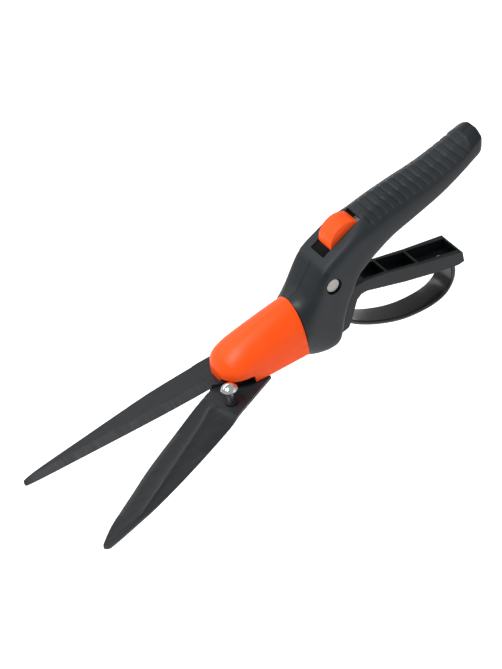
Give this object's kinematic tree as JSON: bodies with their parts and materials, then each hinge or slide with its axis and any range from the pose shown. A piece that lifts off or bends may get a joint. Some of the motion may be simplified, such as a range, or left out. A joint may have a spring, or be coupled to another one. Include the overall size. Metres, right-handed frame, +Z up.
{
  "type": "grass shears",
  "caption": "One-handed grass shears: squeeze lever with finger guard pulls a rod through a rotating head to swing the lower blade against the fixed one.",
  "frame": {"origin": "on the base bracket's flat underside, straight below the head's rotation axis", "axes": "+X along the head's rotation axis from the blades to the handle, +Z up, +Y towards the fixed blade's side"},
  "size_m": [0.3485, 0.0994, 0.1166],
  "materials": {
    "shell_plastic": "fine satin charcoal plastic",
    "grip_rubber": "soft ribbed charcoal overmould",
    "lever_plastic": "satin black plastic",
    "guard_plastic": "smooth glossy black plastic",
    "frame_plastic": "black glass-filled nylon",
    "orange_plastic": "semi-gloss orange plastic",
    "blade_steel": "dark non-stick coated steel with a finely ground bevel",
    "bright_steel": "bright polished steel",
    "zinc_steel": "zinc plated steel",
    "spring_steel": "bright spring wire"
  },
  "bodies": {
    "handle": {"body_shell_near": "shell_plastic", "body_shell_far": "shell_plastic", "grip_overmould": "grip_rubber", "body_screws": "zinc_steel", "fulcrum_pin": "bright_steel", "fulcrum_clip": "zinc_steel", "detent_plungers": "bright_steel", "detent_springs": "spring_steel", "slider_detent_spring": "spring_steel"},
    "slider": {"lock_slider": "orange_plastic", "lock_latch": "zinc_steel"},
    "lever": {"lever": "lever_plastic", "drive_fork": "zinc_steel", "finger_guard": "guard_plastic", "guard_screw": "zinc_steel"},
    "head": {"head_frame": "frame_plastic", "detent_ring": "frame_plastic", "retaining_ring": "spring_steel", "cover": "orange_plastic", "cover_screws": "zinc_steel", "fixed_blade": "blade_steel", "base_bracket": "blade_steel", "blade_rivets": "zinc_steel", "pivot_pin": "bright_steel", "return_spring": "spring_steel"},
    "cutter": {"moving_blade": "blade_steel", "pivot_bush": "frame_plastic", "drive_stud": "zinc_steel"},
    "rod": {"pull_rod": "zinc_steel", "crosshead": "frame_plastic", "rod_spool": "zinc_steel", "rod_nut": "zinc_steel"}
  },
  "joints": [
    {"name": "lever_squeeze", "type": "hinge", "parent": "handle", "child": "lever", "pos_m": [0.0784, 0, 0.04575], "axis": [0, -1, 0], "range_deg": [0, 26], "stiffness_Nm_per_rad": 0.8, "springref_deg": -20.05},
    {"name": "head_turn", "type": "hinge", "parent": "handle", "child": "head", "pos_m": [0.05, 0, 0.01835], "axis": [1, 0, 0], "range_deg": [-90, 90]},
    {"name": "blade_swing", "type": "hinge", "parent": "head", "child": "cutter", "pos_m": [-0.0082, -0.0221, 0.004], "axis": [0, 0, -1], "range_deg": [0, 32.7]},
    {"name": "rod_pull", "type": "slide", "parent": "head", "child": "rod", "axis": [1, 0, 0], "range_m": [0, 0.01232], "deforming": ["return_spring"]},
    {"name": "lock_slide", "type": "slide", "parent": "handle", "child": "slider", "axis": [-0.891, 0, -0.454], "range_m": [0, 0.005]}
  ],
  "couplings": [
    {"joint": "rod_pull", "follows": "lever_squeeze", "m_per_rad": 0.027043},
    {"joint": "blade_swing", "follows": "lever_squeeze", "ratio": 1.2538}
  ]
}
